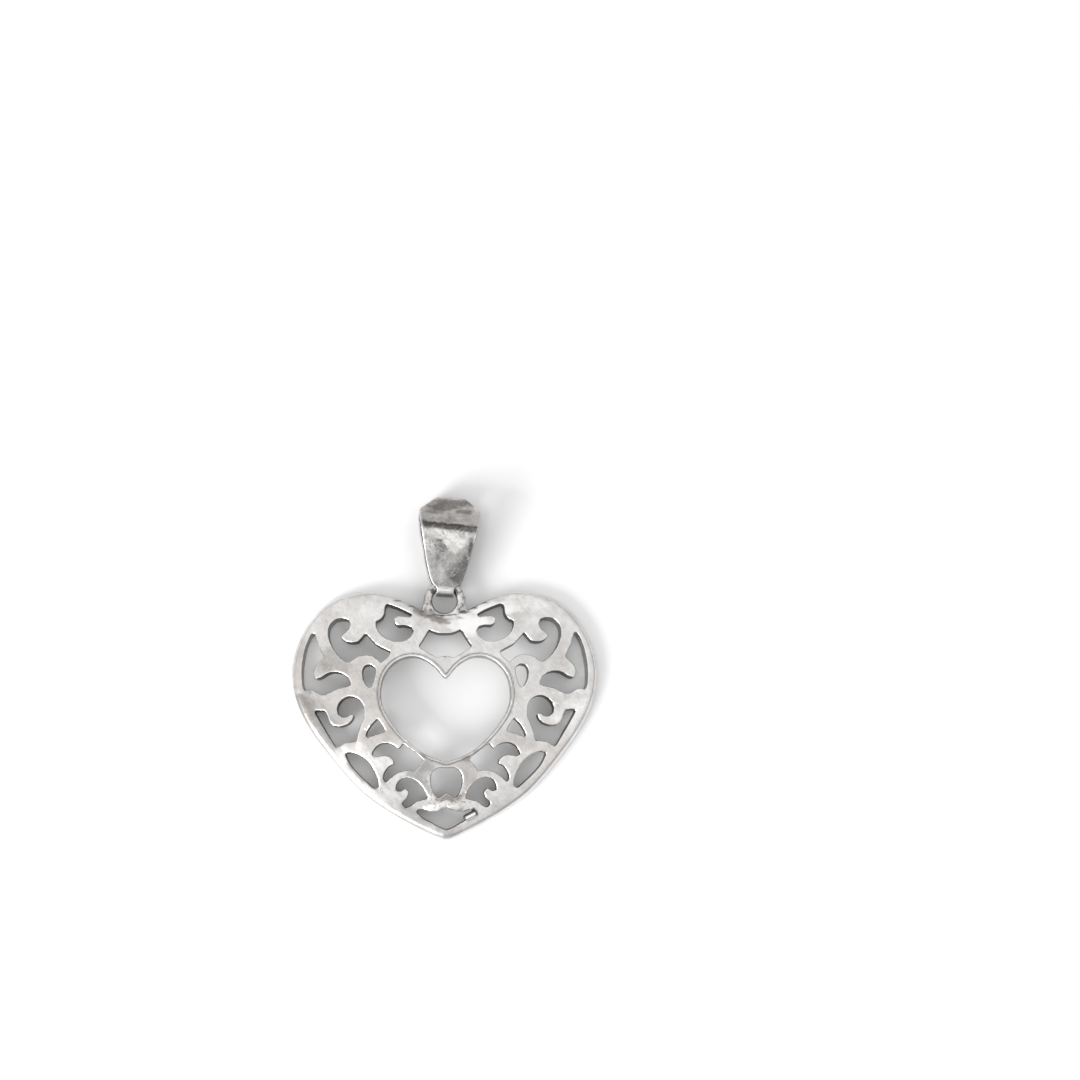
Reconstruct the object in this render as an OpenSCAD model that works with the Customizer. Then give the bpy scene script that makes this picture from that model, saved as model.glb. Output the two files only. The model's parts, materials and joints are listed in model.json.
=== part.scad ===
// Pierced heart pendant of cast silver: a domed, cut-through heart lying on its rim, with a plain
// ring soldered into its cleft and a folded strap bail hooked round the ring.
// X runs across the two lobes, Y from the tip to the bail, Z up from the surface that it lies on.

/* [Heart] */
// Width of the heart across its two lobes
heart_w = 26.05; // [23:0.05:29]
// Height of the heart from its lobes to its tip
heart_h = 21.25; // [19:0.05:24]
// Thickness of the silver, measured upright at the crown
sheet_t = 0.88; // [0.75:0.01:1.1]
// Height of the hollow under the crown
crown_h = 2.2; // [1.8:0.05:2.6]
// Width of the rounding along the rim
edge_w = 0.42; // [0.25:0.01:0.6]
// Width of the flat land that the rim rests on
land_w = 0.5; // [0.3:0.05:0.8]

/* [Ring] */
// Radius of the ring, to the middle of its wire
ring_r = 1.41; // [1.38:0.01:1.5]
// Radius of the ring's wire
wire_r = 0.365; // [0.3:0.005:0.38]
// Height of the ring's middle above the surface
ring_z = 1.3; // [1.25:0.01:1.4]

/* [Bail] */
// Length of the bail from the ring's wire to its top
bail_len = 7.57; // [6.8:0.01:8.2]
// Width of the bail at its widest
bail_w = 5.3; // [4.8:0.05:5.8]
// Height of the bail at its crease
bail_h = 3.7; // [3.4:0.05:4.2]
// Thickness of the folded strap
strap_t = 0.32; // [0.25:0.01:0.36]
// Angle that the bail leans to the right
lean = 4; // [0:0.5:8]

/* [Hidden] */

// A table row is x, y and, where two cuts meet at a point, CORNER
CORNER = 1;

// Left and right of the rim mirror each other, so a table holds the right half or one of a pair.
// Rim of the dome, from the middle of the top to the tip, bridging the cleft
rim_rows = [
    [0.00, 9.40], [2.40, 9.42], [4.60, 9.54], [6.40, 9.68], [8.15, 9.42],
    [9.65, 8.85], [10.85, 7.85], [11.85, 6.55], [12.60, 4.90], [12.98, 3.20],
    [12.92, 1.50], [12.45, -0.20], [11.50, -2.10], [10.15, -4.00], [8.50, -6.05],
    [6.80, -7.80], [4.75, -9.25], [2.65, -10.45], [0.90, -11.30], [0.25, -11.55]
];
// Edge of the cleft, from the middle outwards, then clear round the outside
cleft_rows = [
    [0.00, 7.68, CORNER], [0.95, 7.82], [1.90, 8.18], [2.75, 8.60], [3.50, 8.95],
    [4.30, 9.25], [5.20, 9.50], [6.10, 9.73], [6.80, 9.88], [7.50, 9.98, CORNER],
    [7.50, 11.00, CORNER]
];

// Paired openings, right-hand side
upper_inner = [
    [2.74, 7.76], [3.30, 8.12], [4.00, 8.43], [4.62, 8.66], [4.92, 8.72],
    [5.07, 8.50], [5.12, 7.90], [5.27, 7.55], [5.55, 7.30], [5.88, 7.18, CORNER],
    [5.84, 6.75], [5.55, 6.15], [4.95, 5.68], [4.20, 5.43], [3.50, 5.48],
    [2.95, 5.80], [2.68, 6.30], [2.90, 6.73], [3.40, 6.86], [3.95, 6.80],
    [4.28, 7.02], [4.35, 7.38], [4.02, 7.68], [3.50, 7.62], [2.95, 7.58]
];
upper_scroll = [
    [4.62, 4.55, CORNER], [5.30, 4.88], [5.90, 5.22], [6.42, 5.78], [6.75, 6.18, CORNER],
    [6.98, 5.83], [7.35, 5.42], [7.95, 5.32], [8.50, 5.48], [8.82, 5.80],
    [8.55, 6.08], [8.15, 6.42], [8.00, 6.85], [8.15, 7.27], [8.60, 7.38],
    [9.10, 7.32], [9.58, 6.95], [9.83, 6.40], [9.82, 5.75], [9.55, 4.95],
    [9.05, 4.22], [8.60, 3.80], [8.15, 3.62, CORNER], [7.70, 3.98], [7.20, 4.20],
    [6.65, 4.28], [6.05, 4.13], [5.72, 3.85], [5.48, 3.60, CORNER], [4.90, 4.05]
];
side_crescent = [
    [10.98, 6.06], [11.20, 6.02], [11.50, 5.45], [11.82, 4.50], [12.03, 3.30],
    [12.07, 2.20], [12.00, 1.50], [11.87, 1.17, CORNER], [11.45, 1.30], [11.05, 1.22],
    [10.65, 0.93], [10.30, 0.84], [9.80, 1.07], [9.15, 1.40], [8.45, 1.54],
    [8.00, 1.68], [8.10, 2.17], [8.65, 2.66], [9.40, 2.82], [10.00, 2.66],
    [10.50, 2.33], [10.93, 2.20], [11.13, 2.68], [10.95, 3.25], [10.55, 3.68],
    [10.18, 4.05, CORNER], [10.55, 4.75], [10.78, 5.45]
];
side_drop = [
    [6.45, 1.37, CORNER], [6.88, 1.95], [7.05, 2.65], [6.88, 3.32], [6.40, 3.48],
    [5.97, 3.20], [5.97, 2.60], [6.18, 1.85]
];
middle_scroll = [
    [11.15, -0.50, CORNER], [10.22, -0.48], [10.05, -0.80], [9.90, -1.32], [9.50, -1.76],
    [8.95, -1.83], [8.30, -1.62], [7.88, -1.18], [7.78, -0.80], [8.05, -0.76],
    [8.38, -1.00], [8.80, -1.03], [9.14, -0.75], [9.21, -0.32], [8.97, 0.27],
    [8.45, 0.66], [7.85, 0.73], [7.30, 0.45], [6.95, -0.15], [6.95, -1.00],
    [7.25, -1.75], [7.48, -2.45], [7.62, -3.12, CORNER], [8.35, -3.14], [8.90, -3.34],
    [9.34, -3.66, CORNER], [10.35, -1.95]
];
small_triangle = [
    [5.77, -1.12, CORNER], [6.40, -1.78], [6.78, -2.50], [6.80, -2.83, CORNER],
    [6.10, -2.55], [5.10, -2.25, CORNER], [5.35, -1.78]
];
lower_inner = [
    [3.68, -3.25, CORNER], [3.82, -3.55], [4.05, -3.72], [4.38, -3.45], [4.90, -3.25],
    [5.45, -3.26], [5.90, -3.50], [6.22, -3.95], [6.33, -4.28, CORNER], [5.95, -4.40],
    [5.40, -4.30], [4.80, -4.38], [4.47, -4.70], [4.42, -5.05], [4.90, -5.25],
    [5.22, -5.70], [5.38, -6.25], [5.18, -6.64], [4.80, -6.28], [4.25, -5.83],
    [3.60, -5.60], [3.00, -5.58], [2.70, -5.70, CORNER], [2.33, -5.15],
    [1.90, -4.66, CORNER], [2.75, -3.93]
];
lower_leaf = [
    [8.62, -4.12, CORNER], [8.15, -5.10], [7.45, -5.92], [6.70, -6.62], [6.05, -7.17],
    [5.78, -6.95], [5.80, -6.35], [6.20, -5.40], [6.80, -4.60], [7.55, -4.17], [8.15, -4.02]
];
lower_scroll = [
    [1.63, -8.00, CORNER], [1.72, -7.55], [2.12, -6.88], [2.65, -6.42], [3.35, -6.20],
    [3.92, -6.37], [4.25, -6.85], [4.30, -7.30, CORNER], [3.88, -7.38], [3.48, -7.11],
    [3.20, -7.38], [3.35, -7.95], [3.80, -8.42], [3.50, -8.81], [3.08, -8.63],
    [2.60, -8.25], [2.10, -8.12]
];

// Openings on the middle line, right half from top to bottom
top_fan = [
    [0.00, 6.12], [0.50, 6.14], [1.00, 6.30], [1.35, 6.50, CORNER], [1.75, 5.80],
    [2.28, 4.98, CORNER], [1.55, 4.50], [0.68, 4.00, CORNER], [0.30, 4.13], [0.00, 4.15]
];
inner_heart = [
    [0.00, 2.27], [0.30, 2.52], [0.75, 3.10], [1.35, 3.62], [2.10, 4.02],
    [3.00, 4.13], [3.90, 3.88], [4.65, 3.35], [5.20, 2.55], [5.48, 1.55],
    [5.50, 0.50], [5.18, -0.60], [4.50, -1.68], [3.65, -2.70], [2.50, -3.75],
    [1.25, -4.45], [0.00, -4.87, CORNER]
];
lower_bell = [
    [0.00, -5.38], [0.75, -5.36], [1.15, -5.66], [1.35, -6.25], [1.28, -6.95],
    [1.02, -7.65], [0.65, -8.00], [0.35, -7.68], [0.00, -7.48]
];
bottom_wing = [
    [0.00, -8.66], [0.35, -8.88], [0.85, -9.12], [1.40, -9.12], [1.95, -8.92],
    [2.30, -8.89], [2.58, -9.12, CORNER], [2.05, -9.68], [1.20, -10.12], [0.50, -10.52],
    [0.00, -10.70]
];

paired = [
    upper_inner, upper_scroll, side_crescent, side_drop, middle_scroll,
    small_triangle, lower_inner, lower_leaf, lower_scroll
];
central = [top_fan, inner_heart, lower_bell, bottom_wing];

// Middle of the ring before the heart is sized, and the solder at its sides and foot
ring_y0 = 8.73;
solder_rows = [[1.52, 8.09, 0.42], [1.20, 7.64, 0.46], [0.60, 7.36, 0.40]];

// Plain tag set into the right-hand end of the lowest opening: its middle, length, width and turn
tag_x = 1.98;
tag_y = -9.57;
tag_z = 1.22;
tag_len = 1.25;
tag_w = 0.52;
tag_t = 0.35;
tag_turn = 27;

// The cuts lean like the dome's normals, towards one point this far below the surface
cut_depth = 55;
cut_mid_z = 2;
cut_low = -0.5;
cut_high = 3.8;
// The openings lie this much nearer the tip for each millimetre that the dome rises over its rim
pattern_drop = 0.14;
rim_top_z = 0.5;
// Radius of the round contours near the crown, and the mean radius of the rim
crown_r = 10.8;
mean_r = 12;
// Height of the rim's outermost line
rim_z = 0.25;
// Longest step along a cut, and along the rim
cut_step = 0.38;
rim_step = 0.75;
dome_steps = [0.24, 0.42, 0.58, 0.72, 0.84, 0.92];
edge_turn = [0, 35, 65, 90];

// Half widths of the bail at distances from the ring's wire, before it is sized
bail_rows = [
    [-1.16, 0.72], [-0.46, 0.74], [-0.34, 0.84], [-0.22, 1.00], [-0.08, 1.14], [0.14, 1.26],
    [0.46, 1.40], [1.66, 1.77], [4.58, 2.44], [5.86, 2.65], [6.27, 2.62], [6.97, 1.85],
    [7.36, 1.40], [7.57, 1.15]
];
bail_rows_len = 7.57;
bail_rows_w = 5.3;
loop_r = 1.06;
crease_r = 0.5;
crease_share = 0.592;
top_r = 0.95;
// Ease of the round seat that turns on the ring's wire, and the turn of one facet of a bend
loop_ease = 0.01;
corner_step = 12;
$fn = 96;

// Geometry of the outlines
function xy(row) = [row[0], row[1]];
function is_corner(row) = len(row) > 2;
function span_pt(a, b, c, d, t) =
    0.5 * (2 * b + (c - a) * t + (2 * a - 5 * b + 4 * c - d) * t * t
        + (3 * b - a - 3 * c + d) * t * t * t);
function span(a, b, c, d, step) =
    let (n = max(1, round(norm(c - b) / step)))
    [for (i = [0:n - 1]) span_pt(a, b, c, d, i / n)];
// A smooth closed outline through the rows, broken at the corners
function outline(rows, step) =
    let (n = len(rows))
    [for (i = [0:n - 1])
        let (
            b = rows[i],
            c = rows[(i + 1) % n],
            a = is_corner(b) ? b : rows[(i + n - 1) % n],
            d = is_corner(c) ? c : rows[(i + 2) % n]
        )
        each span(xy(a), xy(b), xy(c), xy(d), step)
    ];
function mirrored_row(row) = is_corner(row) ? [-row[0], row[1], CORNER] : [-row[0], row[1]];
// Both halves of an outline whose table runs down the right side
function both_halves(rows) =
    let (n = len(rows))
    concat(rows, [for (i = [n - 1:-1:0]) if (rows[i][0] > 0) mirrored_row(rows[i])]);

// The dome
rim = outline(both_halves(rim_rows), rim_step);
rim_x = [for (p = rim) p[0]];
rim_y = [for (p = rim) p[1]];
size_x = heart_w / (max(rim_x) - min(rim_x));
size_y = heart_h / (max(rim_y) - min(rim_y));
function under_z(f) = crown_h * (1 - f * f);
function dome_ring(f, z) = [
    for (p = rim)
        let (q = f * ((1 - f * f) * crown_r * p / norm(p) + f * f * p))
        [q[0], q[1], z]
];
edge_f = 1 - edge_w / mean_r;
land_f = edge_f - land_w / mean_r;
edge_z = sheet_t + under_z(edge_f);
dome_profile = concat(
    [for (f = dome_steps) [f, sheet_t + under_z(f)]],
    [for (a = edge_turn) [edge_f + (1 - edge_f) * sin(a), rim_z + (edge_z - rim_z) * cos(a)]],
    [[0.996, 0], [land_f, 0]],
    [for (i = [len(dome_steps) - 1:-1:0]) [dome_steps[i], under_z(dome_steps[i] / land_f)]]
);

module dome() {
    m = len(rim);
    k = len(dome_profile);
    points = concat(
        [[0, 0, sheet_t + crown_h]],
        [for (row = dome_profile) each dome_ring(row[0], row[1])],
        [[0, 0, crown_h]]
    );
    top_fan_faces = [for (i = [0:m - 1]) [0, 1 + i, 1 + (i + 1) % m]];
    wall_faces = [for (r = [0:k - 2]) for (i = [0:m - 1]) [
        1 + r * m + i,
        1 + (r + 1) * m + i,
        1 + (r + 1) * m + (i + 1) % m,
        1 + r * m + (i + 1) % m
    ]];
    low_fan_faces = [for (i = [0:m - 1]) [1 + k * m, 1 + (k - 1) * m + (i + 1) % m, 1 + (k - 1) * m + i]];
    polyhedron(points, concat(top_fan_faces, wall_faces, low_fan_faces), convexity = 10);
}

// Cuts through the dome, drawn where they meet its upper face
function dome_z(p) = sheet_t + crown_h * (1 - pow(norm(p) / mean_r, 2));
function dropped(p) = [p[0], p[1] - pattern_drop * (dome_z(p) - rim_top_z)];
function lifted(pts) = [for (p = pts) p * (cut_depth + cut_mid_z) / (cut_depth + dome_z(p))];

module cut_outline(rows) {
    polygon(lifted([for (p = outline(rows, cut_step)) dropped(p)]));
}

module cut_through() {
    translate([0, 0, cut_low])
        linear_extrude(
            height = cut_high - cut_low,
            scale = (cut_depth + cut_high) / (cut_depth + cut_low),
            convexity = 10
        )
            scale((cut_depth + cut_low) / (cut_depth + cut_mid_z))
                children();
}

module all_cuts() {
    for (rows = paired) {
        cut_outline(rows);
        mirror([1, 0]) cut_outline(rows);
    }
    for (rows = central) cut_outline(both_halves(rows));
    cut_outline(both_halves(cleft_rows));
}

module solder() {
    for (side = [-1, 1])
        for (row = solder_rows)
            translate([side * row[0], row[1], ring_z])
                scale([1, 1, 0.8])
                    sphere(r = row[2], $fn = 20);
}

module tag() {
    translate([tag_x, tag_y, tag_z])
        rotate([0, 0, tag_turn])
            linear_extrude(height = tag_t)
                hull()
                    for (side = [-1, 1])
                        translate([side * (tag_len - tag_w) / 2, 0]) circle(d = tag_w, $fn = 16);
}

module soldered_sheet() {
    resize([heart_w, heart_h, 0])
        union() {
            difference() {
                dome();
                cut_through() all_cuts();
            }
            solder();
            tag();
        }
}

// The ring lies level, half sunk into the cleft
ring_y = ring_y0 * size_y;

module ring() {
    translate([0, ring_y, ring_z])
        rotate_extrude()
            translate([ring_r, 0]) circle(r = wire_r);
}

// The bail, drawn with the ring's wire at the origin and its length along +Y
loop_c = [0, 0];
crease_c = [crease_share * bail_len, bail_h - crease_r - ring_z];
top_c = [bail_len - top_r, top_r - ring_z];
function tangent_normal(c1, r1, c2, r2) =
    let (d = norm(c2 - c1), u = (c2 - c1) / d, a = asin((r1 - r2) / d))
    [-u[1], u[0]] * cos(a) + u * sin(a);

// Points round a corner, turning clockwise from one normal to the next
function corner_pts(c, r, n1, n2) =
    let (
        a1 = atan2(n1[1], n1[0]),
        a2 = atan2(n2[1], n2[0]),
        turn = a1 - a2 + (a2 > a1 ? 360 : 0),
        n = ceil(turn / corner_step)
    )
    [for (i = [0:n]) c + r * [cos(a1 - turn * i / n), sin(a1 - turn * i / n)]];

// Three rounds and the straight sides that touch them
module strap_side(inset) {
    r1 = loop_r - inset;
    r2 = crease_r - inset;
    r3 = top_r - inset;
    n12 = tangent_normal(loop_c, r1, crease_c, r2);
    n23 = tangent_normal(crease_c, r2, top_c, r3);
    n31 = tangent_normal(top_c, r3, loop_c, r1);
    polygon(concat(
        corner_pts(loop_c, r1, n31, n12),
        corner_pts(crease_c, r2, n12, n23),
        corner_pts(top_c, r3, n23, n31)
    ));
}

module strap_front() {
    along = bail_len / bail_rows_len;
    across = bail_w / bail_rows_w;
    last = len(bail_rows) - 1;
    polygon(concat(
        [for (row = bail_rows) [row[1] * across, row[0] * along]],
        [for (i = [last:-1:0]) [-bail_rows[i][1] * across, bail_rows[i][0] * along]]
    ));
}

module folded_strap() {
    intersection() {
        translate([-bail_w, 0, 0])
            rotate([90, 0, 90])
                linear_extrude(height = 2 * bail_w)
                    difference() {
                        strap_side(0);
                        strap_side(strap_t);
                        circle(r = loop_r - strap_t + loop_ease);
                    }
        translate([0, 0, -ring_z - 1])
            linear_extrude(height = bail_h + 2) strap_front();
    }
}

// The origin stands under the middle of the whole pendant
bail_top_y = ring_y + (ring_r + bail_len) * cos(lean) + bail_rows[len(bail_rows) - 1][1] * sin(lean);
mid_y = (bail_top_y + min(rim_y) * size_y) / 2;

module pierced_heart() {
    color([0.80, 0.79, 0.77])
        translate([0, -mid_y, 0])
            union() {
                soldered_sheet();
                ring();
            }
}

module bail() {
    color([0.72, 0.71, 0.69])
        translate([0, ring_y - mid_y, ring_z])
            rotate([0, 0, -lean])
                translate([0, ring_r, 0])
                    folded_strap();
}

pierced_heart();
bail();
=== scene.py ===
import json
import math

import bpy
import numpy as np
from mathutils import Matrix, Vector, noise
from mathutils.bvhtree import BVHTree
from mathutils.kdtree import KDTree

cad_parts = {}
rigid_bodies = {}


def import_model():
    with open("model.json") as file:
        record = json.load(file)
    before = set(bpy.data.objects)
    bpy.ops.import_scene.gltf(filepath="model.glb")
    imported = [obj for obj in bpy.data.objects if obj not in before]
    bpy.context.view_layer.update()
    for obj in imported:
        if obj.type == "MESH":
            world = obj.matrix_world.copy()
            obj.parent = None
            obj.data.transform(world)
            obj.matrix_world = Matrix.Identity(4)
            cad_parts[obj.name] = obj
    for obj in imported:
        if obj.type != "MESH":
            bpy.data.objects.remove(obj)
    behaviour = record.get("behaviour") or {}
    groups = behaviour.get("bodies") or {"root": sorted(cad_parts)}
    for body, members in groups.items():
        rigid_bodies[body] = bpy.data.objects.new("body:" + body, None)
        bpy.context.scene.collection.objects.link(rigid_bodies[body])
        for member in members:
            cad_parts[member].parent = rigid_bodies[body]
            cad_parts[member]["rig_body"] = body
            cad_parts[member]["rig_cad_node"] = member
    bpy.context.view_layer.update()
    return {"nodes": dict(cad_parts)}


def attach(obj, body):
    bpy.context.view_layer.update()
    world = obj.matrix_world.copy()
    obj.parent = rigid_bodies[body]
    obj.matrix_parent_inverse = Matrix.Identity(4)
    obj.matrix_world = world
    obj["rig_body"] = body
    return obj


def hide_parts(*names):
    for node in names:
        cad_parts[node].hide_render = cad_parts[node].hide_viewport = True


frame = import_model()

# Soft daylight in the room round the table: bright overhead and dimmer down at the walls. The
# silver mirrors it, so it shades every slope.
world = bpy.data.worlds.new("daylight_room")
bpy.context.scene.world = world
world.use_nodes = True
sky = world.node_tree
sky.nodes.clear()
sky_out = sky.nodes.new("ShaderNodeOutputWorld")
sky_light = sky.nodes.new("ShaderNodeBackground")
sky_place = sky.nodes.new("ShaderNodeTexCoord")
sky_turn = sky.nodes.new("ShaderNodeVectorMath")
sky_turn.operation = "DOT_PRODUCT"
sky_turn.inputs[1].default_value = (-0.06, 0.10, 0.993)
sky_ramp = sky.nodes.new("ShaderNodeValToRGB")
sky_ramp.color_ramp.interpolation = "EASE"
sky_ramp.color_ramp.elements[0].position = 0.20
sky_ramp.color_ramp.elements[0].color = (0.22, 0.22, 0.222, 1)
sky_ramp.color_ramp.elements[1].position = 0.62
sky_ramp.color_ramp.elements[1].color = (1.0, 1.0, 1.0, 1)
sky.links.new(sky_place.outputs["Generated"], sky_turn.inputs[0])
sky.links.new(sky_turn.outputs["Value"], sky_ramp.inputs["Fac"])
sky.links.new(sky_ramp.outputs["Color"], sky_light.inputs["Color"])
sky_light.inputs["Strength"].default_value = 1.06
sky.links.new(sky_light.outputs["Background"], sky_out.inputs["Surface"])

# The window at the lower left, which throws the soft shadows to the upper right.
window_place = Vector((-0.31, -0.28, 0.19))
bpy.ops.object.light_add(type="AREA", location=window_place)
window = bpy.context.object
window.name = "window"
window.data.shape = "RECTANGLE"
window.data.size = 0.24
window.data.size_y = 0.18
window.data.energy = 2.2
window.rotation_euler = (-window_place).to_track_quat("-Z", "Y").to_euler()

# The white paper that the pendant lies on: plain, matt and pale.
bpy.ops.mesh.primitive_plane_add(size=3, location=(0, 0, 0))
paper = bpy.context.object
paper.name = "paper"
paper_white = bpy.data.materials.new("paper_white")
paper_white.use_nodes = True
paper_shader = paper_white.node_tree.nodes["Principled BSDF"]
paper_shader.inputs["Base Color"].default_value = (0.86, 0.86, 0.86, 1)
paper_shader.inputs["Roughness"].default_value = 0.9
paper.data.materials.append(paper_white)

# The camera looks almost straight down, from a little to the south and west, through a long lens.
# The pendant lies left of the frame's middle and below it, turned a fraction anticlockwise.
heart_spot = Vector((0, 0, 0.001))
frame_middle = Vector((0.00823, 0.01093, 0.001))
camera_height = 0.385
south_tilt = math.radians(8)
west_tilt = math.radians(2)
camera_place = heart_spot + camera_height * Vector(
    (-math.sin(west_tilt), -math.sin(south_tilt), math.cos(south_tilt))
)
bpy.ops.object.camera_add(location=camera_place)
camera = bpy.context.object
camera.name = "camera"
sensor_width = 36
frame_width = 0.0923
camera.data.sensor_width = sensor_width
camera.data.lens = sensor_width * (camera_place - frame_middle).length / frame_width
camera.data.clip_start = 0.01
camera.data.clip_end = 10
look_back = (camera_place - frame_middle).normalized()
heart_upright = Vector((0.0131, 1, 0))
look_right = heart_upright.cross(look_back).normalized()
look_up = look_back.cross(look_right)
camera.rotation_euler = Matrix((look_right, look_up, look_back)).transposed().to_euler()
bpy.context.scene.camera = camera
bpy.context.scene.view_settings.view_transform = "Standard"


# Wear that all the silver here shares: a cloudy skin from casting and handling, warm tarnish in
# soft patches, hairline scratches, bright rub-worn edges that are partly painted highlight, and
# black oxide on upright faces that is partly painted shade in narrow gaps and hollows.
def group_socket(tree, name, way, kind, value=None):
    socket = tree.interface.new_socket(name=name, in_out=way, socket_type=kind)
    if value is not None:
        socket.default_value = value


def group_node(tree, kind, values=None, **settings):
    node = tree.nodes.new(kind)
    for key, value in settings.items():
        setattr(node, key, value)
    for socket, value in (values or {}).items():
        node.inputs[socket].default_value = value
    return node


def ramp_node(tree, source, low, high, to_low=0.0, to_high=1.0, smooth=False):
    node = tree.nodes.new("ShaderNodeMapRange")
    if smooth:
        node.interpolation_type = "SMOOTHSTEP"
    node.inputs["From Min"].default_value = low
    node.inputs["From Max"].default_value = high
    node.inputs["To Min"].default_value = to_low
    node.inputs["To Max"].default_value = to_high
    tree.links.new(source, node.inputs["Value"])
    return node.outputs["Result"]


def product_node(tree, first, second):
    node = tree.nodes.new("ShaderNodeMath")
    node.operation = "MULTIPLY"
    tree.links.new(first, node.inputs[0])
    tree.links.new(second, node.inputs[1])
    return node.outputs["Value"]


def mix_node(tree, share, first, second, blend="MIX"):
    node = tree.nodes.new("ShaderNodeMix")
    node.data_type = "RGBA"
    node.blend_type = blend
    tree.links.new(share, node.inputs["Factor"])
    for key, colour in (("A", first), ("B", second)):
        if isinstance(colour, tuple):
            node.inputs[key].default_value = colour
        else:
            tree.links.new(colour, node.inputs[key])
    return node.outputs["Result"]


silver_wear = bpy.data.node_groups.new("silver_wear", "ShaderNodeTree")
group_socket(silver_wear, "Clean", "INPUT", "NodeSocketColor", (0.80, 0.79, 0.78, 1))
group_socket(silver_wear, "Tarnish", "INPUT", "NodeSocketColor", (0.62, 0.55, 0.50, 1))
group_socket(silver_wear, "Patches", "INPUT", "NodeSocketFloat", 0.4)
group_socket(silver_wear, "Mottle Depth", "INPUT", "NodeSocketFloat", 0.2)
group_socket(silver_wear, "Specks", "INPUT", "NodeSocketFloat", 0.0)
group_socket(silver_wear, "Scratches", "INPUT", "NodeSocketFloat", 0.25)
group_socket(silver_wear, "Walls_Oxide_Shade", "INPUT", "NodeSocketFloat", 0.3)
group_socket(silver_wear, "Grime_Shade", "INPUT", "NodeSocketFloat", 0.0)
group_socket(silver_wear, "Rubbed_Sheen", "INPUT", "NodeSocketFloat", 0.0)
group_socket(silver_wear, "Color", "OUTPUT", "NodeSocketColor")
group_socket(silver_wear, "Roughness", "OUTPUT", "NodeSocketFloat")
group_socket(silver_wear, "Height", "OUTPUT", "NodeSocketFloat")
wear_in = group_node(silver_wear, "NodeGroupInput")
wear_out = group_node(silver_wear, "NodeGroupOutput")
wear_place = group_node(silver_wear, "ShaderNodeTexCoord")
wear_links = silver_wear.links


# A cloud in the silver's skin, or hairlines where it is thinned along a slant.
def wear_noise(scale, detail, rough, slant=0.0, thin=None):
    node = group_node(
        silver_wear, "ShaderNodeTexNoise", {"Scale": scale, "Detail": detail, "Roughness": rough}
    )
    place = wear_place.outputs["Object"]
    if thin:
        turn = group_node(
            silver_wear,
            "ShaderNodeMapping",
            {"Rotation": (0, 0, slant), "Scale": (1, thin, thin)},
            vector_type="TEXTURE",
        )
        wear_links.new(place, turn.inputs["Vector"])
        place = turn.outputs["Vector"]
    wear_links.new(place, node.inputs["Vector"])
    return node.outputs["Fac"]


patch_cloud = wear_noise(330.0, 4.0, 0.62)
mottle_cloud = wear_noise(950.0, 6.0, 0.68)
speck_cloud = wear_noise(4200.0, 2.0, 0.5)
hairlines = wear_noise(900.0, 3.0, 0.6, slant=0.62, thin=0.07)
cross_lines = wear_noise(700.0, 3.0, 0.6, slant=-0.9, thin=0.08)


# Where a cloud passes from one level to another, as strong as the piece asks for.
def wear_mask(cloud, low, high, strength):
    cloud_share = ramp_node(silver_wear, cloud, low, high)
    return product_node(silver_wear, cloud_share, wear_in.outputs[strength])


# Warm tarnish in soft patches over the clean metal, and the cloudy skin that casting leaves
tarnish_patches = wear_mask(patch_cloud, 0.42, 0.70, "Patches")
skin = mix_node(silver_wear, tarnish_patches, wear_in.outputs["Clean"], wear_in.outputs["Tarnish"])
mottled = wear_mask(mottle_cloud, 0.66, 0.34, "Mottle Depth")
skin = mix_node(silver_wear, mottled, skin, (0.25, 0.235, 0.22, 1), "MULTIPLY")

# Hairline scratches, bright one way and dark the other, and black specks
bright_lines = wear_mask(hairlines, 0.56, 0.72, "Scratches")
skin = mix_node(silver_wear, bright_lines, skin, (1, 1, 1, 1))
dark_lines = wear_mask(cross_lines, 0.54, 0.68, "Scratches")
skin = mix_node(silver_wear, dark_lines, skin, (0.2, 0.19, 0.18, 1), "MULTIPLY")
black_specks = wear_mask(speck_cloud, 0.54, 0.62, "Specks")
skin = mix_node(silver_wear, black_specks, skin, (0.12, 0.11, 0.10, 1))

# Bright metal where it is rub-worn, partly painted highlight, then the black oxide of upright
# faces, partly painted shade, and over all the dirt and painted shade of hollows and corners
skin = mix_node(silver_wear, wear_in.outputs["Rubbed_Sheen"], skin, (0.98, 0.97, 0.96, 1))
wall_split = group_node(silver_wear, "ShaderNodeSeparateXYZ")
wear_links.new(wear_place.outputs["Normal"], wall_split.inputs["Vector"])
wall_flat = group_node(silver_wear, "ShaderNodeMath", operation="ABSOLUTE")
wear_links.new(wall_split.outputs["Z"], wall_flat.inputs[0])
oxide_shade_walls = wear_mask(wall_flat.outputs["Value"], 0.68, 0.48, "Walls_Oxide_Shade")
skin = mix_node(silver_wear, oxide_shade_walls, skin, (0.05, 0.048, 0.045, 1))
skin = mix_node(silver_wear, wear_in.outputs["Grime_Shade"], skin, (0.08, 0.075, 0.07, 1))
wear_links.new(skin, wear_out.inputs["Color"])

# The mottle is a little rougher where it is dark, and stands in relief with the scratches
wear_links.new(
    ramp_node(silver_wear, mottle_cloud, 0.3, 0.7, 0.42, 0.30), wear_out.inputs["Roughness"]
)
relief = group_node(silver_wear, "ShaderNodeMath", {1: 0.3}, operation="MULTIPLY_ADD")
wear_links.new(hairlines, relief.inputs[0])
wear_links.new(mottle_cloud, relief.inputs[2])
wear_links.new(relief.outputs["Value"], wear_out.inputs["Height"])
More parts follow.
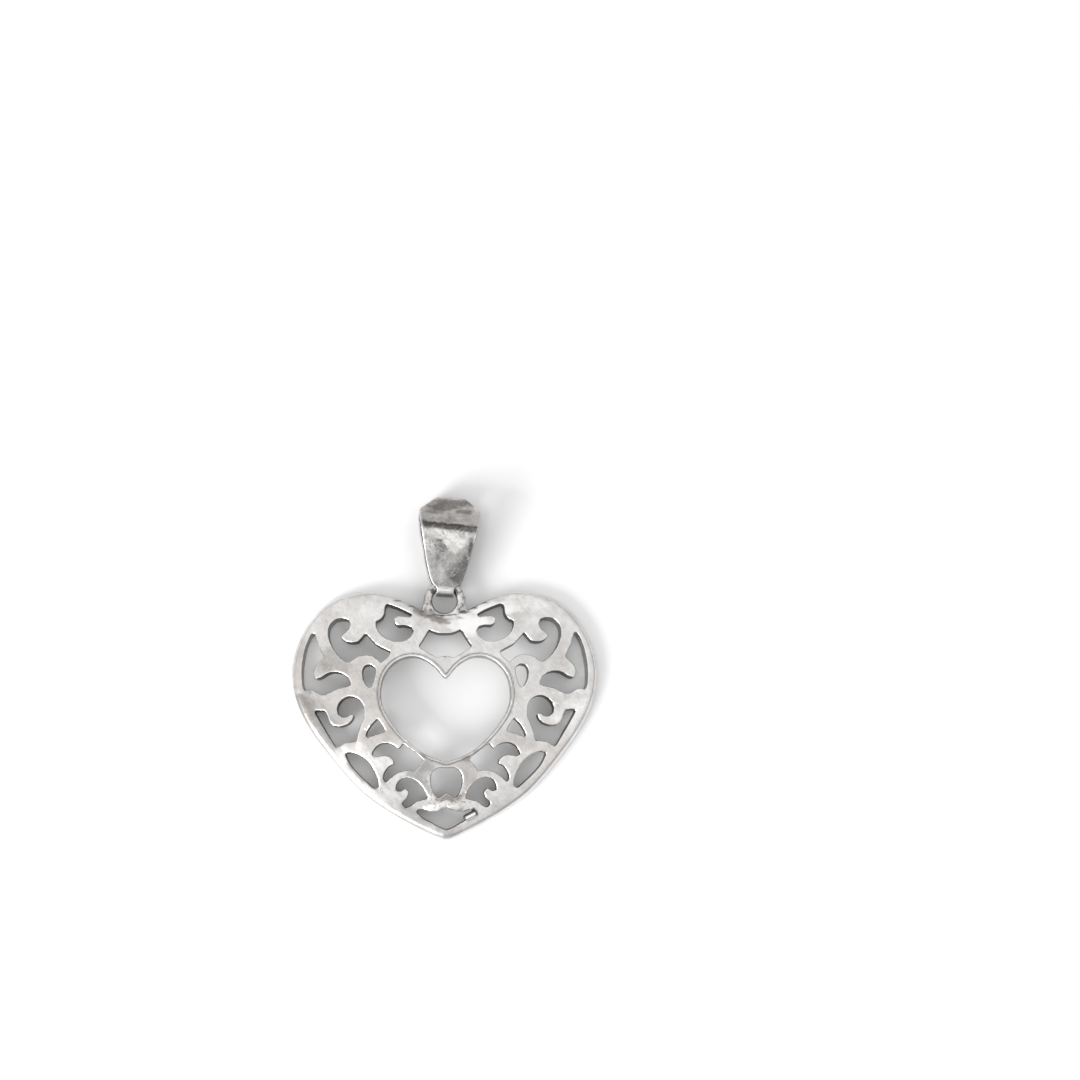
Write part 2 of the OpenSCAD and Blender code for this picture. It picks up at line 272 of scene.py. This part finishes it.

# One stain, rub-worn place, patch of painted shade, or patch of painted highlight: an oval with a
# ragged, cloudy edge, placed in millimetres.
stain_and_shade_spot = bpy.data.node_groups.new("stain_and_shade_spot", "ShaderNodeTree")
group_socket(stain_and_shade_spot, "Place", "INPUT", "NodeSocketVector")
group_socket(stain_and_shade_spot, "Middle", "INPUT", "NodeSocketVector")
group_socket(stain_and_shade_spot, "Reach", "INPUT", "NodeSocketVector")
group_socket(stain_and_shade_spot, "Strength", "INPUT", "NodeSocketFloat", 1.0)
group_socket(stain_and_shade_spot, "Ragged", "INPUT", "NodeSocketFloat", 0.45)
group_socket(stain_and_shade_spot, "Mask", "OUTPUT", "NodeSocketFloat")
spot_in = group_node(stain_and_shade_spot, "NodeGroupInput")
spot_out = group_node(stain_and_shade_spot, "NodeGroupOutput")
spot_from = group_node(stain_and_shade_spot, "ShaderNodeVectorMath", operation="SUBTRACT")
spot_share = group_node(stain_and_shade_spot, "ShaderNodeVectorMath", operation="DIVIDE")
spot_far = group_node(stain_and_shade_spot, "ShaderNodeVectorMath", operation="LENGTH")
spot_cloud = group_node(
    stain_and_shade_spot, "ShaderNodeTexNoise", {"Scale": 1.1, "Detail": 5.0, "Roughness": 0.65}
)
spot_ragged = group_node(stain_and_shade_spot, "ShaderNodeMath", operation="ADD")
stain_and_shade_spot.links.new(spot_in.outputs["Place"], spot_from.inputs[0])
stain_and_shade_spot.links.new(spot_in.outputs["Middle"], spot_from.inputs[1])
stain_and_shade_spot.links.new(spot_from.outputs["Vector"], spot_share.inputs[0])
stain_and_shade_spot.links.new(spot_in.outputs["Reach"], spot_share.inputs[1])
stain_and_shade_spot.links.new(spot_share.outputs["Vector"], spot_far.inputs[0])
stain_and_shade_spot.links.new(spot_in.outputs["Place"], spot_cloud.inputs["Vector"])
stain_and_shade_spot.links.new(spot_far.outputs["Value"], spot_ragged.inputs[0])
stain_and_shade_spot.links.new(
    product_node(
        stain_and_shade_spot,
        ramp_node(stain_and_shade_spot, spot_cloud.outputs["Fac"], 0.3, 0.7, -1, 1),
        spot_in.outputs["Ragged"],
    ),
    spot_ragged.inputs[1],
)
stain_and_shade_spot.links.new(
    product_node(
        stain_and_shade_spot,
        ramp_node(stain_and_shade_spot, spot_ragged.outputs["Value"], 1.25, 0.55, smooth=True),
        spot_in.outputs["Strength"],
    ),
    spot_out.inputs["Mask"],
)


def spot_node(tree, place, across, along, reach_across, reach_along, strength, ragged=0.45):
    any_height = 1000
    spot = group_node(tree, "ShaderNodeGroup", node_tree=stain_and_shade_spot)
    spot.inputs["Middle"].default_value = (across, along, 0)
    spot.inputs["Reach"].default_value = (reach_across, reach_along, any_height)
    spot.inputs["Strength"].default_value = strength
    spot.inputs["Ragged"].default_value = ragged
    tree.links.new(place, spot.inputs["Place"])
    return spot.outputs["Mask"]


def grey(level):
    return (level, level * 0.988, level * 0.97, 1)


def warm(level):
    return (level, level * 0.955, level * 0.92, 1)


# Stains, painted shade and painted highlight laid one over the other. A row holds a spot's place
# across and along, its reach across and along, its strength and colour, and how ragged it is where
# that isn't the usual.
def stained_and_shaded(tree, place, colour, stain_and_shade_rows):
    for across, along, reach_across, reach_along, strength, spot_colour, *ragged in stain_and_shade_rows:
        share = spot_node(tree, place, across, along, reach_across, reach_along, strength, *ragged)
        colour = mix_node(tree, share, colour, spot_colour)
    return colour


mm_in_m = 1000


# The skin of a silver piece: its stain spots and painted light, placed in millimetres, under the
# shared wear. The oxide and painted shade of its hollows and corners, and its rub-worn brightness
# with painted highlight, come from the mesh's own attributes.
def silver(name, clean, stain_and_shade_rows, wear_values, relief_depth, origin=(0, 0, 0), lean=0.0):
    material = bpy.data.materials.new(name)
    material.use_nodes = True
    tree = material.node_tree
    shader = tree.nodes["Principled BSDF"]
    place = group_node(tree, "ShaderNodeTexCoord")
    in_mm = group_node(
        tree,
        "ShaderNodeMapping",
        {"Location": origin, "Rotation": (0, 0, lean), "Scale": (mm_in_m, mm_in_m, mm_in_m)},
    )
    tree.links.new(place.outputs["Object"], in_mm.inputs["Vector"])
    colour = stained_and_shaded(tree, in_mm.outputs["Vector"], clean, stain_and_shade_rows)
    wear = group_node(tree, "ShaderNodeGroup", node_tree=silver_wear)
    for key, value in wear_values.items():
        wear.inputs[key].default_value = value
    for key in ("Walls_Oxide_Shade", "Grime_Shade", "Rubbed_Sheen", "Specks"):
        hidden = group_node(tree, "ShaderNodeAttribute", attribute_name=key.lower())
        tree.links.new(hidden.outputs["Fac"], wear.inputs[key])
    tree.links.new(colour, wear.inputs["Clean"])
    dents = group_node(tree, "ShaderNodeBump", {"Distance": relief_depth, "Strength": 1.0})
    shader.inputs["Metallic"].default_value = 1
    tree.links.new(wear.outputs["Color"], shader.inputs["Base Color"])
    tree.links.new(wear.outputs["Roughness"], shader.inputs["Roughness"])
    tree.links.new(wear.outputs["Height"], dents.inputs["Height"])
    tree.links.new(dents.outputs["Normal"], shader.inputs["Normal"])
    return material, in_mm.outputs["Vector"], wear


# The heart: one cast and pierced sheet with the ring soldered into its cleft. Polishing and wear
# have rounded its edges, so a copy of the solid is remeshed finely, smoothed and sculpted, all in
# millimetres.
def worn_copy(node, name, grain_mm, passes):
    bpy.ops.object.select_all(action="DESELECT")
    piece = frame["nodes"][node].copy()
    piece.data = frame["nodes"][node].data.copy()
    piece.name = name
    bpy.context.scene.collection.objects.link(piece)
    piece.parent = None
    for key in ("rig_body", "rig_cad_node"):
        del piece[key]
    piece.select_set(True)
    bpy.context.view_layer.objects.active = piece
    piece.data.transform(Matrix.Scale(mm_in_m, 4))
    bpy.ops.object.mode_set(mode="EDIT")
    bpy.ops.mesh.select_all(action="SELECT")
    bpy.ops.mesh.remove_doubles(threshold=0.0002)
    bpy.ops.object.mode_set(mode="OBJECT")
    piece.data.remesh_voxel_size = grain_mm
    piece.data.remesh_voxel_adaptivity = 0
    bpy.ops.object.voxel_remesh()
    smooth = piece.modifiers.new("polish", "SMOOTH")
    smooth.factor = 0.5
    smooth.iterations = passes
    bpy.ops.object.modifier_apply(modifier="polish")
    return piece


# How far a value has come from one end of a range to the other, and how well a place lies inside
# an oval with a wavy edge, both from 0 to 1.
def rise(value, low, high):
    return min(max((value - low) / (high - low), 0), 1)


def oval(co, across, along, reach_across, reach_along):
    far = math.hypot((co.x - across) / reach_across, (co.y - along) / reach_along)
    return rise(far + 0.35 * noise.noise(1.7 * co), 1.1, 0.6)


# Evens a value out over the mesh, so that no mask or raised line ends in teeth.
def softened(piece, values):
    ends = np.empty(2 * len(piece.data.edges), dtype=np.int32)
    piece.data.edges.foreach_get("vertices", ends)
    first, second = ends.reshape(-1, 2).T
    values = np.array(values, dtype=float)
    neighbours = np.maximum(np.bincount(ends, minlength=len(values)), 1)
    for _ in range(2):
        around = np.bincount(first, values[second], len(values))
        around += np.bincount(second, values[first], len(values))
        values = (values + around / neighbours) / 2
    return values


# Raises or sinks the skin by the lifts, keeps the wear and painted light masks on the mesh, and
# goes back to metres. Only the mask of dirt and painted shadow keeps its sharp edges.
def wear_down(piece, points, lifts, walls_oxide_shade, grime_shades, rub_sheens, specks):
    lifts = softened(piece, lifts)
    places = [co + float(lift) * normal for (co, normal), lift in zip(points, lifts)]
    piece.data.vertices.foreach_set("co", [value for place in places for value in place])
    for key, values in (
        ("walls_oxide_shade", softened(piece, walls_oxide_shade)),
        ("grime_shade", grime_shades),
        ("rubbed_sheen", softened(piece, rub_sheens)),
        ("specks", softened(piece, specks)),
    ):
        piece.data.attributes.new(key, "FLOAT", "POINT").data.foreach_set("value", values)
    piece.data.transform(Matrix.Scale(1 / mm_in_m, 4))
    bpy.ops.object.select_all(action="DESELECT")
    piece.select_set(True)
    bpy.context.view_layer.objects.active = piece
    bpy.ops.object.shade_smooth()


def skin_of(piece):
    corners = [vertex.co for vertex in piece.data.vertices]
    return BVHTree.FromPolygons(corners, [face.vertices for face in piece.data.polygons])


def points_of(piece):
    return [(vertex.co.copy(), vertex.normal.copy()) for vertex in piece.data.vertices]


heart = worn_copy("pierced_heart", "worn_heart", 0.1066, 5)
heart_skin = skin_of(heart)
heart_points = points_of(heart)
dome_middle = Vector((0, -3.1, 0))
ring_middle = Vector((0, 5.63, 1.3))
tag_middle = Vector((1.98, -12.68, 0))
tag_turn = Matrix.Rotation(math.radians(-27), 3, "Z")

# The outline of the open heart in the middle, felt out from its own middle, for the fine bevel
# and scribed line that frame it.
frame_steps = 1440
frame_reach = 9
frame_line = KDTree(frame_steps)
inside_frame = Vector((0, -3.6, 2.35))
for step in range(frame_steps):
    turn = math.tau * step / frame_steps
    look = Vector((math.cos(turn), math.sin(turn), 0))
    spot = heart_skin.ray_cast(inside_frame, look, frame_reach)[0]
    if spot is not None:
        frame_line.insert((spot.x, spot.y, 0), step)
frame_line.balance()
bevel_w = 0.27
bevel_slope = 0.42
scribe_w = 0.09
scribe_depth = 0.03
widest_gap = 12
off_wall = 0.12


# How far it is across a gap from a wall of an opening to the next metal, looked for level and on
# a slope each way, because the sheet is domed.
def gap_across(co, normal):
    side = Vector((normal.x, normal.y, 0)).normalized()
    gaps = []
    for slope in (-0.2, 0.0, 0.2):
        look = (side + Vector((0, 0, slope))).normalized()
        gap = heart_skin.ray_cast(co + off_wall * normal, look, widest_gap)[3]
        if gap is not None:
            gaps.append(gap)
    return min(gaps, default=99)


# Painted shadow where the strap passes over the wire, then along the edge of the cleft: place
# across and along, reach and strength.
shadow_corners = [
    (-0.98, 6.40, 0.26, 0.30, 0.9),
    (1.00, 6.25, 0.26, 0.30, 0.9),
    (1.55, 4.60, 0.42, 0.16, 0.8),
    (2.35, 5.02, 0.55, 0.13, 0.8),
    (3.30, 5.50, 0.50, 0.10, 0.7),
    (-2.60, 5.15, 0.50, 0.12, 0.7),
    (-1.95, 4.70, 0.30, 0.12, 0.6),
    (0.20, 3.62, 0.34, 0.14, 0.5),
]
# How black a wall gets, from 0 to 1, oxide with painted shade inside the ring and in narrow gaps,
# and how far the ring's inside and its solder reach
clean_wall = 0.12
cleft_wall = 0.35
open_heart_wall = 0.5
narrow_wall = 0.83
ring_wall = 0.95
ring_inside = 1.35
solder_reach = 2.4
lifts, walls_oxide_shade, grime_shades, rub_sheens, specks = [], [], [], [], []
for co, normal in heart_points:
    from_frame = frame_line.find((co.x, co.y, 0))[2]
    from_ring = (co - ring_middle).xy.length
    from_middle = (co - dome_middle).xy.length
    up = rise(normal.z, 0.1, 0.6)
    lift = 0.006 * noise.noise(1.4 * co)
    wall = grime_shade = 0.0
    # Polish catches the rounded edges, brightened further as painted highlight. Upright faces are
    # black inside the ring and in narrow gaps, painted shade over the oxide, and nearly clean in
    # the cleft and round the rim, which is rub-worn bright with painted highlight.
    rubbed_sheen = 0.9 * rise(normal.z, 0.50, 0.62) * rise(normal.z, 0.88, 0.80)
    if abs(normal.z) < 0.95:
        gap = gap_across(co, normal)
        near_middle = abs(co.x) < 6.2 and -8.9 < co.y < 1.6
        in_ring = from_ring < ring_inside and normal.dot(ring_middle - co) > 0
        in_cleft = normal.y > 0.3 and co.y > 4.2
        if in_ring:
            wall = ring_wall
        elif in_cleft or from_ring < solder_reach:
            wall = clean_wall + cleft_wall * rise(from_ring, 5.0, solder_reach)
        elif from_frame < 0.35:
            wall = open_heart_wall
        else:
            narrow = 1.0 if near_middle else rise(gap, 6.5, 4.5)
            wall = clean_wall + narrow * (narrow_wall - 0.45 * rise(from_middle, 10.4, 12))
        if from_middle > 9 and (gap > 6 or in_cleft):
            rubbed_sheen = max(0.3 * rubbed_sheen, 0.9 * rise(normal.z, 0.5, 0.3) * rise(from_ring, 2.6, 6))
    # The open heart's fine bevel, and the line scribed round it
    scribe = up * rise(abs(from_frame - bevel_w), scribe_w, 0)
    lift -= up * bevel_slope * max(bevel_w - from_frame, 0) + scribe_depth * scribe
    grime_shade = 0.9 * scribe
    # The rough bright ridge above the lowest opening
    ridge = 1 - ((co.x + 0.25) / 1.7) ** 2 - ((co.y + 12.0) / 0.55) ** 2
    lift += up * min(1, 2 * max(ridge, 0)) * (0.12 + 0.12 * noise.noise(1.9 * co))
    # Painted shade darkens the hollow back, so it throws less light down onto the paper
    grime_shade = max(grime_shade, 0.3 * rise(-normal.z, 0.3, 0.7))
    # The small tag: a painted highlight on its face inside a painted shadow seam
    on_tag = tag_turn @ (co - tag_middle)
    if abs(on_tag.x) < 0.7 and -0.26 < on_tag.y < 0.48 and normal.z > -0.5 and co.z > 0.7:
        seam = max(
            rise(on_tag.y, -0.02, 0.06),
            rise(abs(on_tag.x), 0.42, 0.50),
            0.6 * rise(-on_tag.y, 0.14, 0.18),
        )
        grime_shade = seam * rise(on_tag.y, 0.48, 0.38) * rise(abs(on_tag.x), 0.70, 0.60)
        rubbed_sheen = 0.95
    # Painted highlight right of the cleft, and the painted shadow in the corners
    cleft_highlight = max(oval(co, 2.2, 3.5, 2.1, 1.0), oval(co, 4.2, 4.9, 2.2, 0.6))
    rubbed_sheen = max(rubbed_sheen, 0.9 * up * cleft_highlight)
    for across, along, reach_across, reach_along, strength in shadow_corners:
        strength *= 1 if along > 6 else up
        grime_shade = max(grime_shade, strength * oval(co, across, along, reach_across, reach_along))
    # Lumps of solder at the ring's foot and round its sides
    lumps = rise(abs(from_ring - 1.75), 0.9, 0.3) * rise(co.y, 6.4, 5.6)
    lift += lumps * (0.09 * noise.noise(2.3 * co) + 0.07 * noise.noise(5.7 * co))
    # Black pits over the lowest opening and in the solder
    solder_pits = 0.9 * rise(from_ring, 2.35, 2.1) * rise(co.y, 4.4, 4.8)
    lifts.append(lift)
    walls_oxide_shade.append(wall)
    grime_shades.append(grime_shade)
    rub_sheens.append(rubbed_sheen)
    specks.append(max(0.6 * oval(co, 0.0, -11.0, 2.6, 1.1), solder_pits))
wear_down(heart, heart_points, lifts, walls_oxide_shade, grime_shades, rub_sheens, specks)

# Tarnish stains on the heart, with painted light that evens out its tone zone by zone: the warm
# rows down the left are tarnish, darkened in part as painted shade; the pale rows on the lobes,
# the right rim, right of the cleft and over the ridge above the lowest opening are painted
# highlight; the broad dark grey rows over the lower left, the lower right and the tip are painted
# shade; the thin dark warm rows along the cleft's edge are painted shadow.
heart_stains_and_shading = [
    (-8.0, -2.6, 5.6, 5.2, 0.75, warm(0.66)),
    (-12.2, -0.6, 1.3, 5.6, 0.80, warm(0.64)),
    (-11.6, 3.9, 1.2, 1.6, 0.70, grey(0.95)),
    (-9.3, 0.5, 1.6, 1.2, 0.80, warm(0.45)),
    (-11.6, -2.9, 1.3, 0.8, 0.60, warm(0.46)),
    (-6.4, -2.7, 1.2, 1.5, 0.50, warm(0.58)),
    (-7.2, 5.2, 2.6, 1.1, 0.60, grey(0.92)),
    (7.0, 5.6, 2.0, 1.0, 0.80, grey(0.97)),
    (6.3, 4.6, 1.2, 0.7, 0.50, warm(0.62)),
    (8.2, 2.0, 1.0, 0.8, 0.45, warm(0.58)),
    (11.6, -4.4, 2.4, 3.0, 0.80, grey(0.98)),
    (9.0, -8.1, 3.0, 2.4, 0.70, warm(0.88)),
    (7.0, -10.3, 2.6, 1.6, 0.70, grey(0.78)),
    (4.6, -12.0, 2.8, 1.0, 0.75, grey(0.70)),
    (0.0, -14.2, 1.5, 0.7, 0.75, grey(0.44)),
    (0.0, -9.3, 3.4, 1.7, 0.65, grey(0.56)),
    (-2.3, -8.9, 1.1, 1.7, 0.90, grey(0.38)),
    (-1.9, -10.4, 0.9, 0.7, 0.80, grey(0.46)),
    (2.3, -8.8, 0.9, 1.3, 0.80, grey(0.54)),
    (1.9, -8.05, 0.55, 0.28, 0.90, grey(0.22)),
    (2.8, -7.45, 0.60, 0.28, 0.90, grey(0.22)),
    (-5.9, -6.3, 1.7, 1.3, 0.80, warm(0.58)),
    (5.9, -6.3, 1.5, 1.2, 0.60, warm(0.62)),
    (9.0, 0.2, 1.3, 1.3, 0.60, grey(0.64)),
    (-9.2, -11.2, 5.8, 3.6, 1.0, grey(0.40), 0.06),
    (-4.2, -13.4, 3.4, 2.4, 1.0, grey(0.36), 0.06),
    (-12.0, -6.0, 3.6, 3.4, 1.0, grey(0.38), 0.06),
    (-12.6, -3.8, 1.6, 2.0, 1.0, warm(0.28), 0.30),
    (-2.05, 4.85, 0.8, 0.42, 0.90, warm(0.28)),
    (-1.35, 4.50, 0.8, 0.45, 0.95, warm(0.26)),
    (-0.75, 4.15, 0.7, 0.42, 0.95, warm(0.24)),
    (-0.15, 3.85, 0.5, 0.28, 0.90, warm(0.26)),
    (1.45, 4.62, 0.45, 0.20, 0.90, warm(0.16)),
    (2.3, 5.0, 0.50, 0.18, 0.90, warm(0.16)),
    (3.2, 5.45, 0.45, 0.15, 0.90, warm(0.16)),
    (-2.7, 5.25, 0.60, 0.12, 0.85, warm(0.18)),
    (-3.7, 5.7, 0.60, 0.10, 0.85, warm(0.18)),
    (2.0, 4.1, 1.6, 0.8, 0.95, grey(0.98)),
    (4.6, 5.1, 2.2, 0.6, 0.90, grey(0.98)),
    (-2.9, 4.0, 0.7, 0.5, 0.60, grey(0.92)),
    (0.1, -11.15, 1.3, 0.45, 0.90, warm(0.26)),
    (-0.3, -12.0, 1.6, 0.45, 0.95, grey(0.98)),
    (-1.7, 5.5, 0.5, 0.7, 0.60, warm(0.40)),
    (1.6, 4.9, 0.5, 0.4, 0.60, warm(0.36)),
]
heart_metal = silver(
    "heart_silver",
    (0.80, 0.79, 0.778, 1),
    heart_stains_and_shading,
    {"Tarnish": (0.60, 0.545, 0.51, 1), "Patches": 0.35, "Mottle Depth": 0.28, "Scratches": 0.22},
    relief_depth=0.00002,
)[0]
heart.data.materials.clear()
heart.data.materials.append(heart_metal)
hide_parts("pierced_heart")
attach(heart, "heart")

# The bail: a tapered strap folded round the ring's wire, more tarnished than the heart, with a
# black band along the fold that is oxide and painted dark reflection, and painted highlight and
# painted shade over its face.
bail = worn_copy("bail", "worn_bail", 0.05, 7)
bail_skin = skin_of(bail)
bail_points = points_of(bail)

# The strap's own directions: across, along from the ring's wire, and up, in millimetres
bail_lean = math.radians(4)
bail_turn = Matrix.Rotation(bail_lean, 3, "Z")
bail_hinge = Vector((0.0984, 7.037, 1.3))
bail_side = Vector((math.cos(bail_lean), -math.sin(bail_lean), 0))
fold_height = 3.6
fold_start = 2.6
lifts, walls_oxide_shade, grime_shades, rub_sheens, specks = [], [], [], [], []
for co, normal in bail_points:
    on_strap = bail_turn @ (co - bail_hinge)
    facing = normal.dot(bail_side)
    # The inside of the fold looks across at the strap's other half, and gets painted shade there
    inside = bail_skin.ray_cast(co + 0.03 * normal, normal, fold_height)[0] is not None
    edge = rise(abs(facing), 0.25, 0.5) * rise(abs(facing), 0.98, 0.9)
    if normal.z > 0.5:
        # A painted highlight along the left edge, and along the right one near the fold
        for way in (-1, 1):
            near = bail_skin.ray_cast(co - 0.08 * normal, way * bail_side, 0.4)[3]
            if near is not None and (way < 0 or on_strap.y > 3.4):
                edge = max(edge, rise(near, 0.16 - 0.03 * way, 0.07 - 0.03 * way))
    # Painted highlight, strongest towards the fold, and over the loop where it turns over the wire
    edge *= 0.7 if on_strap.y > fold_start else 0.35
    edge = max(edge, 0.85 * oval(on_strap, 0.1, -0.68, 0.95, 0.18))
    lifts.append(0.008 * noise.noise(1.1 * co))
    # Painted shade on the faces that look right, away from the window
    walls_oxide_shade.append(0.7 * rise(facing, 0.4, 0.8))
    grime_shades.append(0.6 if inside else 0.0)
    rub_sheens.append(0.0 if inside or normal.z < 0.1 else edge)
    specks.append(0.8 * oval(on_strap, -0.8, 3.0, 1.0, 1.3) if normal.z > 0 else 0.0)
wear_down(bail, bail_points, lifts, walls_oxide_shade, grime_shades, rub_sheens, specks)

# Stains on the bail's face, with painted light: the two pale rows near the fold and the one over
# the loop are painted highlight, the dark rows down the right of the face are painted shade.
bail_stains_and_shading = [
    (-0.2, 3.95, 2.4, 0.42, 1.0, grey(0.98)),
    (0.6, 3.3, 1.2, 0.75, 1.0, grey(0.98)),
    (-1.6, 3.4, 0.55, 1.0, 0.90, grey(0.80)),
    (-1.35, 1.6, 0.40, 1.9, 0.75, grey(0.66)),
    (-0.85, 2.9, 0.55, 0.75, 0.70, grey(0.44)),
    (1.9, 2.9, 0.22, 0.8, 0.95, grey(0.16)),
    (1.5, 1.7, 0.28, 1.0, 0.90, grey(0.16)),
    (0.95, 0.7, 0.65, 1.0, 0.90, grey(0.17)),
    (0.1, 1.9, 0.5, 0.7, 0.60, grey(0.52)),
    (0.4, 1.1, 0.4, 0.6, 0.60, grey(0.28)),
    (-0.7, 0.7, 0.5, 0.9, 0.60, grey(0.60)),
    (0.1, -0.62, 1.2, 0.3, 0.80, grey(0.85)),
]
bail_metal, bail_mm, bail_wear = silver(
    "bail_silver",
    grey(0.42),
    bail_stains_and_shading,
    {"Tarnish": (0.28, 0.27, 0.255, 1), "Patches": 0.25, "Mottle Depth": 0.55, "Scratches": 0.40},
    relief_depth=0.00003,
    origin=-(bail_turn @ bail_hinge),
    lean=bail_lean,
)

# Two bands across the face, with ragged edges that slant a little: the black band along the
# crease, oxide and painted dark reflection, then the facet above it with its own stain spots. Both
# show on the upper half alone.
bail_tree = bail_metal.node_tree
bail_split = group_node(bail_tree, "ShaderNodeSeparateXYZ")
bail_tree.links.new(bail_mm, bail_split.inputs["Vector"])
fold_slant = group_node(bail_tree, "ShaderNodeMath", {1: 0.06}, operation="MULTIPLY_ADD")
bail_tree.links.new(bail_split.outputs["X"], fold_slant.inputs[0])
bail_tree.links.new(bail_split.outputs["Y"], fold_slant.inputs[2])
fold_cloud = group_node(
    bail_tree, "ShaderNodeTexNoise", {"Scale": 2.6, "Detail": 5.0, "Roughness": 0.7}
)
bail_tree.links.new(bail_mm, fold_cloud.inputs["Vector"])
fold_ragged = group_node(bail_tree, "ShaderNodeMath", operation="ADD")
bail_tree.links.new(fold_slant.outputs["Value"], fold_ragged.inputs[0])
bail_tree.links.new(
    ramp_node(bail_tree, fold_cloud.outputs["Fac"], 0.3, 0.7, -0.12, 0.12), fold_ragged.inputs[1]
)
fold_along = fold_ragged.outputs["Value"]
above = ramp_node(bail_tree, bail_split.outputs["Z"], -0.4, 0.0)
face_colour = bail_wear.inputs["Clean"].links[0].from_socket
facet_stains = [
    (-0.7, 6.5, 1.3, 0.42, 1.0, warm(0.36)),
    (0.3, 7.05, 1.9, 0.42, 0.95, warm(0.38)),
    (1.2, 6.2, 0.9, 0.25, 0.90, warm(0.36)),
    (-1.3, 6.0, 0.8, 0.20, 0.80, warm(0.42)),
    (0.0, 5.3, 2.0, 0.20, 0.60, warm(0.62)),
    (2.2, 5.9, 0.4, 0.9, 0.80, warm(0.95)),
]
facet_colour = stained_and_shaded(bail_tree, bail_mm, warm(0.80), facet_stains)
crease_from, crease_full = 4.34, 4.48
facet_from, facet_full = 4.86, 5.04
for band_from, band_full, band_colour in (
    (crease_from, crease_full, (0.125, 0.123, 0.115, 1)),
    (facet_from, facet_full, facet_colour),
):
    band = product_node(bail_tree, ramp_node(bail_tree, fold_along, band_from, band_full), above)
    face_colour = mix_node(bail_tree, band, face_colour, band_colour)
bail_tree.links.new(face_colour, bail_wear.inputs["Clean"])
bail.data.materials.clear()
bail.data.materials.append(bail_metal)
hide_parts("bail")
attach(bail, "bail")
